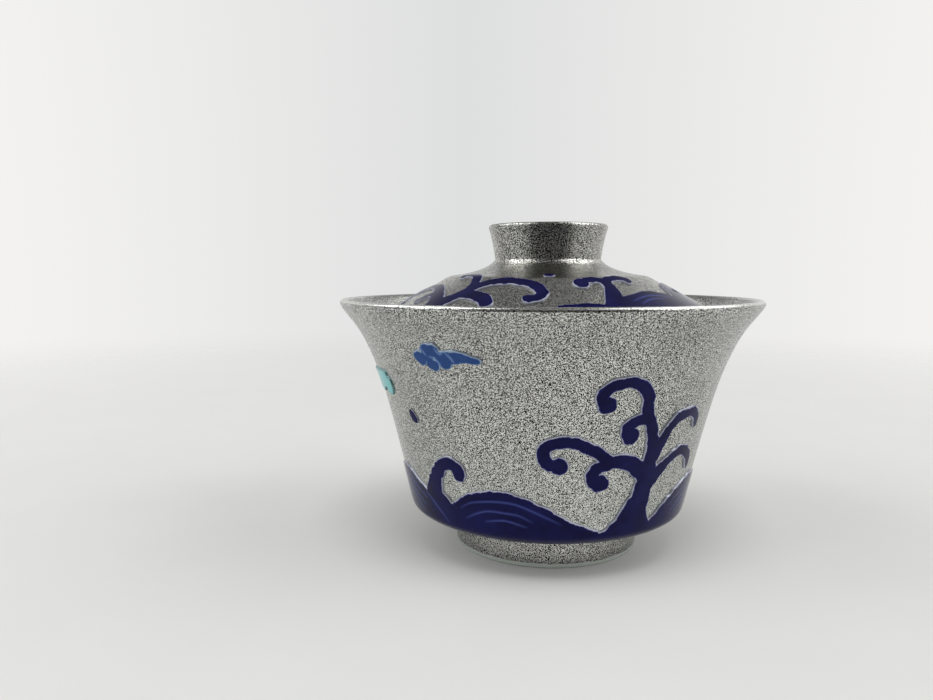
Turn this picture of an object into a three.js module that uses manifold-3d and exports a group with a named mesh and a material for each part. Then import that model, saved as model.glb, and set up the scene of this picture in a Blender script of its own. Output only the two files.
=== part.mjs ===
// A lidded tea bowl: a flared bowl on a foot ring, and a domed lid with a flared ring to hold it by.
// The lid drops inside the rim, rests on the bowl's wall and lifts straight off. Raised enamel waves,
// clouds and spray are fired on to the outside of both. Millimetres, +Z up, origin under the foot.
import * as THREE from "three";
import { mergeVertices } from "three/addons/utils/BufferGeometryUtils.js";
import Module from "manifold-3d";

const wasm = await Module();
wasm.setup();

// Foot ring
const FOOT_RADIUS = 20.9;
const FOOT_HEIGHT = 6.2;
const FOOT_WALL = 2.8;
const FOOT_ROUND = 0.8;

// Bowl
const SHOULDER_RADIUS = 31.2;
const SHOULDER_RISE = 4.8; // from the top of the foot ring to the shoulder, where the wall starts
const SHOULDER_TURN = 1.6; // how far below the shoulder the wall's line would meet the underside's
const SHOULDER_ROUND = 3.8; // how far in from there the curve between them starts
const WALL_HEIGHT = 45.9; // from the shoulder to the top of the rim
const RIM_RADIUS = 47.5;
const LIP_FLARE = 5.25; // how far the lip turns out past the straight taper of the wall
const FLARE_POWER = 5.5; // how late the lip turns out
const WALL = 2.2; // thickness at the shoulder
const LIP = 1.6; // thickness at the rim
const FLOOR = 3;
const FLOOR_CORNER = 7; // reach of the curve from the wall to the floor inside

// Lid
const LID_DEPTH = 6.6; // how far below the rim the lid's edge rests on the wall
const LID_CLEARANCE = 0.3;
const LID_WALL = 2.2;
const LID_RISE = 11.2; // from the middle of the edge to the shoulder
const LID_SHOULDER_RADIUS = 22.5;
const LID_SHOULDER_RUN = 5; // the shoulder's own slope, as a run outwards
const LID_SHOULDER_DROP = 2.6; // and a drop
const NECK_RADIUS = 12.1;
const NECK_RISE = 3.8; // from the lid's shoulder to the crown that carries the knob
const NECK_COVE = 1.7; // how tightly the cove turns up into the neck
const COVE_RISE = 1.2;

// Knob
const KNOB_HEIGHT = 7.9;
const KNOB_RADIUS = 13.6; // outside the flared top
const KNOB_WALL = 2.3;
const KNOB_FLARE = 0.5; // how far the side has spread by half its height
const KNOB_ROUND = 0.7;

// Enamel
const ENAMEL_GAP = 0.1;
const ENAMEL_THICKNESS = 0.35;
const BOWL_BARE = 0.5; // bare strip between the foot ring and the bowl's enamel
const LID_BARE = 4; // bare strip above the lid's edge

// How finely the round forms are cut
const SEGMENTS = 40;
const WALL_STEPS = 8;
const CURVE_STEPS = 5;
const ROUND_STEPS = 3;
const SWELL_STEPS = 10;
const BALL_STEPS = 4;
const STROKE_STEP = 1.7;
const BLOCK_OUT = 8; // how far a block that cuts the enamel stands out of the surface
const BLOCK_IN = 2; // how far it reaches in
const BLOCK_STEP = 0.05; // how much further in and out each block goes than the one before
const MERGE_TOLERANCE = 1e-4;

// Ornament. A place is given in degrees round the object, from the side that faces -Y towards +X, and in
// percent of an outline's length: up the bowl from foot to lip, or up the lid from edge to neck. Widths
// and radii are in the same percent. A stroke is a line of [degrees, percent, width], and most end in a
// ball of a given radius. A lobe or drop is [degrees, percent, radius], and a swell is a row of
// [degrees, percent] along its top.
const BOWL_BAND = 20.9;
const BOWL_STROKES = [
  // Root and stem of the tall crest, up to its top curl
  {
    line: [
      [26, 19.4, 20], [27.2, 24.5, 13], [28.3, 29.6, 7.6],
      [29.2, 34.7, 6.6], [29.6, 41.8, 5.6], [29.6, 48, 4.4],
    ],
  },
  {
    line: [
      [29.6, 45.9, 4.6], [29, 54.1, 4], [27, 59.2, 3.7], [24.6, 64.3, 3.5], [23.4, 69.9, 3.3],
      [20, 73.8, 3.1], [14.5, 74.3, 3.1], [10.4, 71.2, 3.1], [10.3, 68.4, 3.1], [11.6, 66.8, 3.1],
    ],
    ball: 2.2,
  },
  // Its left side: a short curl, then a branch that parts into two curls
  {
    line: [[26, 61.2, 2.8], [21.6, 61.2, 2.8], [18.8, 58.8, 2.8], [18.8, 56.3, 2.8], [20.1, 55.1, 2.8]],
    ball: 2.1,
  },
  { line: [[28, 40.8, 5], [23, 45.2, 5], [18.5, 46.5, 4.6], [14, 46.2, 3.2]] },
  {
    line: [[14.5, 46.1, 2.8], [10.4, 45.1, 2.8], [8.8, 42, 2.8], [9.7, 39.4, 2.8], [12, 38.7, 2.8]],
    ball: 2.1,
  },
  {
    line: [
      [14.5, 46.7, 3.2], [9, 50.7, 3.2], [4, 53.7, 3.2], [-2, 54, 3.2],
      [-6.2, 52, 3.2], [-6.9, 48.8, 3.1], [-5.2, 45.7, 3], [-2.6, 44.9, 3],
    ],
    ball: 2.3,
  },
  // Its right side: an upper and a lower branch
  {
    line: [
      [30.5, 45.9, 4], [33.5, 53.1, 3.6], [38, 59.8, 3],
      [43, 61.2, 2.6], [47, 61.6, 2.8], [50.3, 59.2, 2.9], [50.6, 56.7, 2.9],
    ],
    ball: 1.8,
  },
  {
    line: [
      [30, 35.7, 5.4], [33, 39.5, 4.8], [38, 44.1, 3.2],
      [43, 46.7, 2.9], [48, 47.2, 2.8], [52.2, 45.1, 2.9], [52.4, 42.5, 2.9],
    ],
    ball: 1.9,
  },
  // The single curl on the left
  {
    line: [
      [-50, 25.5, 8], [-49.2, 33.2, 5], [-46.8, 38.8, 3.9],
      [-43, 42.2, 3.5], [-39.4, 42.9, 3.4], [-37, 41.2, 3.3], [-37, 39.7, 3.3],
    ],
    ball: 2.3,
  },
];
const BOWL_SWELLS = [
  [[-100, 25.5], [-88, 34.2], [-75, 36.4], [-66, 33.7], [-57, 30.6], [-48, 27.5]],
  [[-45, 25], [-42, 27.3], [-32, 32.9], [-20, 34.6], [-8, 30.8], [4, 24.1], [14, 20.4]],
  [[34, 20.4], [45, 29.2], [55, 34], [64, 34.9], [75, 32.1], [86, 25.5]],
];
const BOWL_BACK = { start: 84, end: 262, count: 3, valley: 24.5, peak: 34.7 };
const CLOUD_BALLS = [
  [-39.4, 82.4, 3.1], [-42.4, 81.8, 2.3], [-37.6, 84.7, 2.3], [-38.4, 80.3, 2.3], [-35.2, 81.4, 2.6],
];
const CLOUD_TAIL = {
  line: [[-39, 82.1, 3.8], [-36, 82.1, 3.8], [-32, 83.2, 3], [-28, 83.2, 2.2], [-24.4, 81.6, 1.4]],
  ball: 0.8,
};
const LEFT_CLOUD_BALLS = [[-66, 68.1, 3.9], [-71.5, 69.6, 4.2], [-77, 66.8, 3.8], [-82, 69.4, 3.4]];
const BOWL_DROP = [-54.5, 58, 1.9];
const LID_BAND = 25;
const LID_STROKES = [
  // Left crest: its stem and upper curl, a long curl over to the right, and a thick low branch under that
  {
    line: [
      [-52, 26, 11], [-47, 34.5, 8.6], [-42.2, 42, 7.6], [-41, 50, 7.2], [-43, 58, 6.2],
      [-46, 63.6, 5], [-50, 66, 4.4], [-54.5, 64.4, 3.8], [-55.8, 63.4, 3.8],
    ],
    ball: 2.8,
  },
  {
    line: [
      [-41, 47, 7.4], [-36.5, 53.5, 6.8], [-29, 58, 6.2], [-20, 57.8, 5.8], [-12.2, 54, 5.8],
      [-8, 46.8, 6], [-7.8, 41.2, 5.8], [-10, 37.4, 5.4], [-12.6, 36.8, 5.4],
    ],
    ball: 3.4,
  },
  {
    line: [[-41, 42, 6.5], [-36, 40.8, 6.8], [-31.4, 38, 7.2], [-28.6, 34, 7.2], [-27.8, 31.6, 7.2]],
    ball: 3.8,
  },
  // Far left crest: its stem, which curls over to the left, and a low branch
  {
    line: [
      [-48, 24, 11], [-55, 38, 8], [-61.5, 46, 6.4], [-67, 49.2, 5.2],
      [-76, 47.6, 4.6], [-82, 42, 4.4], [-83.2, 40.4, 4.4],
    ],
    ball: 2.9,
  },
  { line: [[-56, 40, 6], [-61.6, 38.8, 5], [-64.4, 34, 4.6], [-64.8, 31.6, 4.6]], ball: 2.6 },
  // Right crest: a curl to the left and a branch to the right
  {
    line: [
      [16, 22, 13], [18, 32.5, 10], [20.4, 42.6, 8.2], [21.8, 51.5, 6.6], [20.5, 57.6, 5.6],
      [16, 59.8, 5], [11, 58.6, 4.8], [8.6, 56, 4.8], [8.2, 53.4, 4.8],
    ],
    ball: 3.8,
  },
  {
    line: [[21.5, 56, 5.5], [25, 60.2, 5], [30.5, 61.6, 4.6], [34.2, 59.8, 4.4], [35.8, 57.8, 4.4]],
    ball: 3,
  },
  // Far right crest: a bare stem
  {
    line: [[55, 24, 11], [58, 34, 7.4], [60.4, 43, 6], [62, 51, 5.2], [64, 56, 4.6], [65.4, 57.6, 4.6]],
    ball: 2.6,
  },
];
const LID_SWELLS = [
  [[-8, 25], [-1.6, 29.7], [5.8, 32.1], [13, 29.9], [18, 28]],
  [[20, 30], [26, 41.7], [32.5, 45.4], [37.4, 46], [43, 43.4], [49.5, 38.8], [55, 34]],
];
const LID_BACK = { start: 54, end: 278, count: 4, valley: 26, peak: 44 };
const LID_DROP = [-5.2, 68, 2.9];
const SWELL_ROOT = 0.8; // where a swell starts, as a share of the height of the band that joins the swells
const SWELL_LAP = 0.05; // how far neighbouring plain swells overlap, as a share of their width
const SWELL_PLACES = 4; // steps between the places that a plain swell's top is drawn through

// Heights stacked up from the table, and the middle line of the bowl's wall
const shoulderHeight = FOOT_HEIGHT + SHOULDER_RISE;
const rimHeight = shoulderHeight + WALL_HEIGHT;
const floorHeight = FOOT_HEIGHT + FLOOR;
const wallFoot = at(SHOULDER_RADIUS - WALL / 2, shoulderHeight);
const wallTop = at(RIM_RADIUS - LIP / 2, rimHeight - LIP / 2);

function at(radius, height) {
  return new THREE.Vector2(radius, height);
}

// A unit vector square to a line, to the right of someone who walks along it
function rightOf(direction) {
  return at(direction.y, -direction.x).normalize();
}

// The bowl's wall at a share of its height: the points on its two faces and the way that it leans
function wallAt(share) {
  const taper = wallTop.x - LIP_FLARE - wallFoot.x;
  const height = wallTop.y - wallFoot.y;
  const lean = at(taper + LIP_FLARE * FLARE_POWER * share ** (FLARE_POWER - 1), height).normalize();
  const spread = taper * share + LIP_FLARE * share ** FLARE_POWER;
  const middle = at(wallFoot.x + spread, wallFoot.y + height * share);
  const half = THREE.MathUtils.lerp(WALL, LIP, share) / 2;
  const outwards = rightOf(lean);
  return {
    lean,
    outwards,
    outer: middle.clone().addScaledVector(outwards, half),
    inner: middle.clone().addScaledVector(outwards, -half),
  };
}

function wallSteps() {
  return Array.from({ length: WALL_STEPS + 1 }, (_, i) => wallAt(i / WALL_STEPS));
}

// Points round an arc, without its two ends
function arc(centre, radius, from, to) {
  const curve = new THREE.EllipseCurve(centre.x, centre.y, radius, radius, from, to, to < from);
  return curve.getPoints(ROUND_STEPS).slice(1, -1);
}

function bend(start, control, end) {
  return new THREE.QuadraticBezierCurve(start, control, end).getPoints(CURVE_STEPS);
}

// The outside of the bowl from the foot ring to the lip
function bowlOutside() {
  const wall = wallSteps();
  const joint = at(FOOT_RADIUS, FOOT_HEIGHT);
  const corner = wall[0].outer.clone().addScaledVector(wall[0].lean, -SHOULDER_TURN);
  const inwards = joint.clone().sub(corner).normalize();
  const shoulder = bend(corner.clone().addScaledVector(inwards, SHOULDER_ROUND), corner, wall[0].outer);
  return [joint, ...shoulder, ...wall.slice(1).map((step) => step.outer)];
}

function bowlProfile() {
  const wall = wallSteps();
  const top = wall.at(-1).outwards.angle();
  const inside = wall.map((step) => step.inner).reverse();
  const last = inside.at(-1);
  const corner = at(last.x, floorHeight);
  const floor = bend(last, corner, at(last.x - FLOOR_CORNER, floorHeight));
  return [
    at(0, FOOT_HEIGHT),
    ...bowlOutside(),
    ...arc(wallTop, LIP / 2, top - 2 * Math.PI, top - Math.PI),
    ...inside,
    ...floor.slice(1),
    at(0, floorHeight),
  ];
}

function footProfile() {
  const inside = FOOT_RADIUS - FOOT_WALL;
  const bottom = at(inside + FOOT_ROUND, 0);
  return [
    bottom,
    at(FOOT_RADIUS - FOOT_ROUND, 0),
    ...arc(at(FOOT_RADIUS - FOOT_ROUND, FOOT_ROUND), FOOT_ROUND, -Math.PI / 2, 0),
    at(FOOT_RADIUS, FOOT_ROUND),
    at(FOOT_RADIUS, FOOT_HEIGHT),
    at(inside, FOOT_HEIGHT),
    at(inside, FOOT_ROUND),
    ...arc(at(inside + FOOT_ROUND, FOOT_ROUND), FOOT_ROUND, Math.PI, 1.5 * Math.PI),
    bottom.clone(),
  ];
}

// The lid's main points: its edge is a round that rests on the inside of the bowl's wall
function lidPoints() {
  const seat = wallAt(1 - LID_DEPTH / WALL_HEIGHT);
  const edge = seat.inner.clone().addScaledVector(seat.outwards, -LID_WALL / 2 - LID_CLEARANCE);
  const shoulder = at(LID_SHOULDER_RADIUS, edge.y + LID_RISE);
  const slope = at(LID_SHOULDER_RUN, -LID_SHOULDER_DROP);
  const control = shoulder.clone().add(slope);
  const neck = at(NECK_RADIUS, shoulder.y + NECK_RISE);
  const skirtUp = rightOf(control.clone().sub(edge));
  const shoulderUp = rightOf(slope.clone().negate());
  return { edge, shoulder, control, neck, skirtUp, shoulderUp };
}

// The outside of the lid from its edge to its neck
function lidOutside() {
  const { edge, shoulder, control, neck, skirtUp } = lidPoints();
  const skirt = bend(edge.clone().addScaledVector(skirtUp, LID_WALL / 2), control, shoulder);
  const cove = bend(shoulder, at(NECK_RADIUS + NECK_COVE, shoulder.y + COVE_RISE), neck);
  return [...skirt, ...cove.slice(1)];
}

function lidProfile() {
  const { edge, shoulder, control, neck, skirtUp, shoulderUp } = lidPoints();
  const low = edge.clone().addScaledVector(skirtUp, -LID_WALL / 2);
  const under = control.clone().addScaledVector(skirtUp, -LID_WALL);
  const high = shoulder.clone().addScaledVector(shoulderUp, -LID_WALL);
  const ceiling = bend(at(0, shoulder.y), at(NECK_RADIUS, shoulder.y), high);
  const round = arc(edge, LID_WALL / 2, skirtUp.angle() - Math.PI, skirtUp.angle());
  return [...ceiling, ...bend(high, under, low).slice(1), ...round, ...lidOutside(), at(0, neck.y)];
}

function knobProfile() {
  const { neck } = lidPoints();
  const top = neck.y + KNOB_HEIGHT;
  const side = top - KNOB_ROUND;
  const spread = at(neck.x + KNOB_FLARE, neck.y + KNOB_HEIGHT / 2);
  const outside = bend(neck, spread, at(KNOB_RADIUS, side));
  const inside = outside.map((point) => at(point.x - KNOB_WALL, point.y)).reverse();
  const outerRound = arc(at(KNOB_RADIUS - KNOB_ROUND, side), KNOB_ROUND, 0, Math.PI / 2);
  const innerRound = arc(at(inside[0].x + KNOB_ROUND, side), KNOB_ROUND, Math.PI / 2, Math.PI);
  return [
    ...outside,
    ...outerRound,
    at(KNOB_RADIUS - KNOB_ROUND, top),
    at(inside[0].x + KNOB_ROUND, top),
    ...innerRound,
    ...inside,
    neck.clone(),
  ];
}

function lathe(profile) {
  return new THREE.LatheGeometry(profile, SEGMENTS).rotateX(Math.PI / 2);
}

// A closed geometry as a solid that can be joined and cut
function solid(geometry) {
  const bare = geometry.clone();
  bare.deleteAttribute("normal");
  bare.deleteAttribute("uv");
  const merged = mergeVertices(bare, MERGE_TOLERANCE);
  const corners = merged.index.array;
  const triangles = [];
  for (let i = 0; i < corners.length; i += 3) {
    const [a, b, c] = corners.slice(i, i + 3);
    if (a !== b && b !== c && c !== a) triangles.push(a, b, c);
  }
  const vertProperties = Float32Array.from(merged.attributes.position.array);
  const triVerts = Uint32Array.from(triangles);
  return new wasm.Manifold(new wasm.Mesh({ numProp: 3, vertProperties, triVerts }));
}

function geometryOf(body) {
  const mesh = body.getMesh();
  const geometry = new THREE.BufferGeometry();
  geometry.setAttribute("position", new THREE.BufferAttribute(mesh.vertProperties, 3));
  geometry.setIndex(new THREE.BufferAttribute(mesh.triVerts, 1));
  geometry.computeVertexNormals();
  return geometry;
}

// A surface to draw on: an outline's points, a curve through them to measure along, and how much of its
// start stays bare
function surface(points, bare) {
  const curve = new THREE.SplineCurve(points);
  return { points, bare, curve, percent: curve.getLength() / 100 };
}

// How many percent of the outline one degree round the surface is, at a height up the outline
function percentPerDegree({ curve, percent }, height) {
  const { x: radius } = curve.getPointAt(height / 100);
  return THREE.MathUtils.degToRad(radius) / percent;
}

// A layer of enamel all over a surface, of which each field is cut
function enamelLayer({ points, bare }) {
  const [first, second] = points;
  const start = first.clone().lerp(second, bare / first.distanceTo(second));
  const line = [start, ...points.slice(1)];
  const under = [];
  const over = [];
  for (let i = 0; i < line.length - 1; i++) {
    const before = line[Math.max(i - 1, 0)];
    const outwards = rightOf(line[i + 1].clone().sub(before));
    under.push(line[i].clone().addScaledVector(outwards, ENAMEL_GAP));
    over.push(line[i].clone().addScaledVector(outwards, ENAMEL_GAP + ENAMEL_THICKNESS));
  }
  return solid(lathe([...over, ...under.reverse(), over[0].clone()]));
}

// A flat shape in degrees and percent, as a block that stands through the enamel layer. Each block goes a
// little further than the one before, so that no two of their faces coincide.
function block({ curve }, shape, index) {
  const inwards = BLOCK_IN + index * BLOCK_STEP;
  const depth = inwards + BLOCK_OUT + index * BLOCK_STEP;
  const options = { depth, bevelEnabled: false, curveSegments: BALL_STEPS };
  const geometry = new THREE.ExtrudeGeometry(shape, options);
  const position = geometry.attributes.position;
  for (let i = 0; i < position.count; i++) {
    const share = position.getY(i) / 100;
    const lift = position.getZ(i) - inwards;
    const point = curve.getPointAt(share).addScaledVector(rightOf(curve.getTangentAt(share)), lift);
    const angle = THREE.MathUtils.degToRad(position.getX(i));
    position.setXYZ(i, point.x * Math.sin(angle), -point.x * Math.cos(angle), point.y);
  }
  return solid(geometry);
}

function strokeShape(sheet, stations) {
  const line = new THREE.CatmullRomCurve3(stations.map((station) => new THREE.Vector3(...station)));
  const steps = Math.ceil((line.getLength() * sheet.percent) / STROKE_STEP);
  const left = [];
  const right = [];
  for (let i = 0; i <= steps; i++) {
    const { x: degrees, y: height, z: width } = line.getPointAt(i / steps);
    const along = line.getTangentAt(i / steps);
    const stretch = percentPerDegree(sheet, height);
    const across = rightOf(at(along.x * stretch, along.y)).multiplyScalar(width / 2);
    left.push(at(degrees - across.x / stretch, height - across.y));
    right.unshift(at(degrees + across.x / stretch, height + across.y));
  }
  return new THREE.Shape([...left, ...right]);
}

function ballShape(sheet, [degrees, height, radius]) {
  const across = radius / percentPerDegree(sheet, height);
  return new THREE.Shape().absellipse(degrees, height, across, radius, 0, 2 * Math.PI);
}

function strokeShapes(sheet, { line, ball }) {
  const stroke = strokeShape(sheet, line);
  const [degrees, height] = line.at(-1);
  return ball ? [stroke, ballShape(sheet, [degrees, height, ball])] : [stroke];
}

// The ground under the top of a swell, down to inside the band that joins the swells
function swellShape(tops, band) {
  const line = new THREE.SplineCurve(tops.map(([degrees, height]) => at(degrees, height)));
  const top = line.getPoints(SWELL_STEPS);
  const bottom = top.map((point) => at(point.x, band * SWELL_ROOT)).reverse();
  return new THREE.Shape([...top, ...bottom]);
}

// Plain swells side by side, where the ornament isn't known
function plainSwells({ start, end, count, valley, peak }) {
  const width = (end - start) / count;
  const shares = Array.from({ length: SWELL_PLACES + 1 }, (_, i) => i / SWELL_PLACES);
  return Array.from({ length: count }, (_, i) =>
    shares.map((share) => {
      const along = i + THREE.MathUtils.lerp(-SWELL_LAP, 1 + SWELL_LAP, share);
      return [start + along * width, THREE.MathUtils.lerp(valley, peak, Math.sin(Math.PI * share))];
    }),
  );
}

// A field of enamel: what shapes, and any round band, leave of the layer
function enamelField(sheet, shapes, band = []) {
  const blocks = shapes.map((shape, index) => block(sheet, shape, index));
  const whole = [...band, ...blocks].reduce((sum, next) => sum.add(next));
  return geometryOf(enamelLayer(sheet).intersect(whole));
}

// A thick ring between two radii and two heights
function ring(inside, outside, low, high) {
  const corners = [at(inside, low), at(outside, low), at(outside, high), at(inside, high), at(inside, low)];
  return solid(lathe(corners));
}

function waveShapes(sheet, swells, strokes, band) {
  return [
    ...swells.map((tops) => swellShape(tops, band)),
    ...strokes.flatMap((stroke) => strokeShapes(sheet, stroke)),
  ];
}

function bowlWaves(sheet) {
  const swells = [...BOWL_SWELLS, ...plainSwells(BOWL_BACK)];
  const bandTop = sheet.curve.getPointAt(BOWL_BAND / 100).y;
  const band = ring(FOOT_RADIUS / 2, RIM_RADIUS, 0, bandTop);
  return enamelField(sheet, waveShapes(sheet, swells, BOWL_STROKES, BOWL_BAND), [band]);
}

function lidWaves(sheet) {
  const swells = [...LID_SWELLS, ...plainSwells(LID_BACK)];
  const bandRadius = sheet.curve.getPointAt(LID_BAND / 100).x;
  const band = ring(bandRadius, RIM_RADIUS, floorHeight, 2 * rimHeight);
  return enamelField(sheet, waveShapes(sheet, swells, LID_STROKES, LID_BAND), [band]);
}

function cloud(sheet, balls, tails) {
  const shapes = balls.map((ball) => ballShape(sheet, ball));
  return enamelField(sheet, [...shapes, ...tails.flatMap((tail) => strokeShapes(sheet, tail))]);
}

function drop(sheet, place) {
  return enamelField(sheet, [ballShape(sheet, place)]);
}

function silver() {
  return new THREE.MeshStandardMaterial({ color: 0xa9a7a2, roughness: 0.42, metalness: 0.85 });
}

function enamel(color) {
  return new THREE.MeshStandardMaterial({ color, roughness: 0.12, metalness: 0 });
}

const COBALT = 0x14204a;
const STEEL_BLUE = 0x3d5f92;
const TURQUOISE = 0x7fb9b8;
const liddedBowl = new THREE.Group();

function add(name, geometry, material) {
  const mesh = new THREE.Mesh(geometry, material);
  mesh.name = name;
  liddedBowl.add(mesh);
}

const bowlSheet = surface(bowlOutside(), BOWL_BARE);
const lidSheet = surface(lidOutside(), LID_BARE);

add("bowl_body", lathe(bowlProfile()), silver());
add("foot_ring", lathe(footProfile()), silver());
add("bowl_wave_enamel", bowlWaves(bowlSheet), enamel(COBALT));
add("bowl_cloud_blue", cloud(bowlSheet, CLOUD_BALLS, [CLOUD_TAIL]), enamel(STEEL_BLUE));
add("bowl_cloud_turquoise", cloud(bowlSheet, LEFT_CLOUD_BALLS, []), enamel(TURQUOISE));
add("bowl_spray_drop", drop(bowlSheet, BOWL_DROP), enamel(COBALT));
add("lid_dome", lathe(lidProfile()), silver());
add("lid_knob", lathe(knobProfile()), silver());
add("lid_wave_enamel", lidWaves(lidSheet), enamel(COBALT));
add("lid_spray_drop", drop(lidSheet, LID_DROP), enamel(COBALT));

export default liddedBowl;
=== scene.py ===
import math

import bpy
import numpy as np
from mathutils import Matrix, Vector, noise


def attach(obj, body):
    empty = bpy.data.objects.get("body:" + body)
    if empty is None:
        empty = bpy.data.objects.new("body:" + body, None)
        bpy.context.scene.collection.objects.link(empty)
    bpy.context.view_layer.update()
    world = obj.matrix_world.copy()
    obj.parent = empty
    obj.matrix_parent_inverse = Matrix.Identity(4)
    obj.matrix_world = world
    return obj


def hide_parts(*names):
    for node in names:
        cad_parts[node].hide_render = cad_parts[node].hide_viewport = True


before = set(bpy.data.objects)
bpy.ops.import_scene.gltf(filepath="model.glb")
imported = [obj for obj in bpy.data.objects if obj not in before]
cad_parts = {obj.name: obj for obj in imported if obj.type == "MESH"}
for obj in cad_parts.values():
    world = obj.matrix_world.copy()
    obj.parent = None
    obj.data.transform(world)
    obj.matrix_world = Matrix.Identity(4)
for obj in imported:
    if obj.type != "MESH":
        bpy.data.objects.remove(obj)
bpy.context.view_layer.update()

MM = 0.001
TINY = 1e-9


def linear(red, green, blue):
    """A colour written in 0 to 255 (sRGB), as the shaders take it."""
    shares = [value / 255 for value in (red, green, blue)]
    return (*(s / 12.92 if s <= 0.04045 else ((s + 0.055) / 1.055) ** 2.4 for s in shares), 1)


# Camera of the photograph, whose width is in pixels, and what it sees from and to, in metres
IMAGE_WIDTH = 933
FOCAL_PIXELS = 790
SENSOR_WIDTH = 36
CAMERA_PLACE = Vector((-18.73, -183.33, 63.19)) * MM
CAMERA_DOWN = math.radians(5.735)
CAMERA_NEAR = 0.01
CAMERA_FAR = 20

# Round forms: what counts as touching a plane or as level, their fineness, and the turns that stay sharp
TOUCH = 0.001 * MM
LEVEL = 0.01 * MM
ROUND_SEGMENTS = 256
FINE_STEPS = 6
CORNER_TURN = math.radians(75)
CREASE_TURN = math.radians(40)

# Fineness of the raised enamel: columns all the way round, millimetres of a row, and steps of its curves
ENAMEL_COLUMNS = 960
ENAMEL_ROW = 0.25
CURVE_STEPS = 24
DISC_STEP = 0.12

# Raised enamel, in millimetres: how far it spreads past its drawn line, its height, edge and seat
SPREAD = 0.46
LID_SPREAD = 0.36
DROP_SPREAD = 0.12
ENAMEL_HEIGHT = 0.34
EDGE_ROUND = 0.28
SEAT_DEPTH = 0.08
EDGE_LEVELS = (0, 0.02, 0.06, 0.12, 0.19, 0.28, 0.5)
DEEPEST = 3

# Unevenness of the enamel's edge, in millimetres: its size, its length, and how far from the edge it acts
WOBBLE = 0.26
WOBBLE_LENGTH = 1.8
WOBBLE_REACH = 2

# Fields of enamel: room round them and depth far outside, in millimetres, the reach of a disc in spreads,
# and how much faster the depth grows at a level edge
FIELD_ROOM = 1
FAR_OUTSIDE = -9.0
DISC_REACH = 3
LEVEL_STEEPNESS = 1.5

# Ornament on the bowl. A place is degrees round from the front, and percent of the way up the outline.
# A stroke's third number is its width and a ball's its radius, in percent. A bare edge is in millimetres.
BOWL_BARE = 0.5
BOWL_BAND = 20.9
BOWL_STROKES = [
    dict(line=[(26.3, 18.4, 17), (27.2, 23.5, 11), (28.1, 29, 8), (29, 34.7, 7.3), (29.6, 41.8, 5.9),
               (29.6, 48, 4.4)]),
    dict(line=[(29.6, 45.9, 4.6), (29, 54.1, 4), (27, 59.2, 3.7), (24.7, 64.3, 3.7), (23.7, 69.8, 3.7),
               (20.4, 73.9, 3.3), (14.5, 74.5, 3.1), (10.2, 71.6, 3.4), (9.8, 68.6, 3.8), (11.4, 67, 3.6)],
         ball=2.7),
    dict(line=[(26, 61, 3.2), (21.8, 60.8, 3.4), (19, 58.7, 3.6), (19.2, 56.3, 3.7), (20.4, 55.5, 3.4)],
         ball=2.7),
    dict(line=[(28, 40.4, 5), (23, 45, 4.8), (18.5, 46.5, 4.6), (14, 46.2, 3.2)]),
    dict(line=[(14.5, 45.8, 3.4), (10.8, 44.8, 3.4), (9, 42, 3.6), (9.8, 39.7, 3.7), (12, 39, 3.4)],
         ball=2.7),
    dict(line=[(14.5, 46.7, 3.5), (9, 50.6, 3.5), (4, 53.5, 3.4), (-2, 53.8, 3.4), (-6, 51.9, 3.5),
               (-6.5, 48.9, 3.7), (-4.8, 46, 3.7), (-1.7, 45.4, 3.5)],
         ball=2.7),
    dict(line=[(30.5, 45.9, 4), (33.5, 53.1, 3.6), (38, 59.8, 3), (43, 61.3, 2.7), (46.4, 61.2, 2.9),
               (49, 59, 2.6), (49.6, 56.2, 2)],
         ball=1),
    dict(line=[(30, 35.7, 5.4), (33, 39.5, 4.8), (38, 44.1, 3.2), (43, 46.8, 3), (47, 46.8, 3),
               (51.2, 44, 2.7), (52.4, 40.6, 2)],
         ball=1),
    dict(line=[(-49.3, 24, 14), (-50.5, 29.5, 8.5), (-48.9, 33.5, 6), (-46.8, 37.6, 4.5), (-43, 41.7, 4.1),
               (-39.4, 42.8, 4.1), (-36.4, 41.2, 4.1), (-36.3, 39.6, 4.1)],
         ball=2.4),
]
BOWL_BUMPS = [(-50.3, 35.6, 1.1), (-48.1, 38.9, 1.1), (-45.7, 41.4, 1)]
BOWL_SWELLS = [
    [(-100, 23), (-90, 30), (-80, 34.4), (-72, 35.9), (-66, 34.5), (-60, 31.6), (-55, 29.7), (-48, 27)],
    [(-50, 19), (-45, 25), (-42, 26.9), (-32, 32.7), (-20, 34.6), (-8, 30.8), (4, 24.1), (14, 20.4)],
    [(34, 20.4), (45, 29.2), (55, 34), (64, 34.9), (75, 32.1), (86, 25.5)],
    [(11, 19), (14.6, 20.1), (18.9, 22.8), (21.1, 26.6), (22.5, 29.6), (25, 33)],
]
BOWL_BACK = dict(start=84, end=262, count=3, valley=24.5, peak=34.7)
CLOUD_BALLS = [
    (-42.1, 82.2, 1.9), (-41.2, 81.2, 1.8), (-38.4, 84.9, 2.1), (-36.4, 85, 2.1), (-38.3, 79.8, 1.7),
    (-37.2, 79.4, 1.7), (-34.2, 82.2, 2.2), (-33.6, 80.6, 2), (-38.8, 82.4, 2),
]
CLOUD_TAIL = dict(line=[(-33.5, 82.4, 3.4), (-31, 82.7, 3.7), (-28.4, 83, 3), (-26, 82.4, 2.2),
                        (-23.4, 81.7, 1.3)])
LEFT_CLOUD_BALLS = [
    (-66.2, 68.2, 3), (-67.3, 71.2, 1.8), (-70.2, 70.4, 3), (-74.5, 69.2, 3.8), (-79.5, 69.6, 3.4),
]
BOWL_DROP = dict(line=[(-54.3, 59.5, 2.4), (-53.5, 58.3, 3.2), (-52.7, 57.1, 2.4)])

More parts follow.
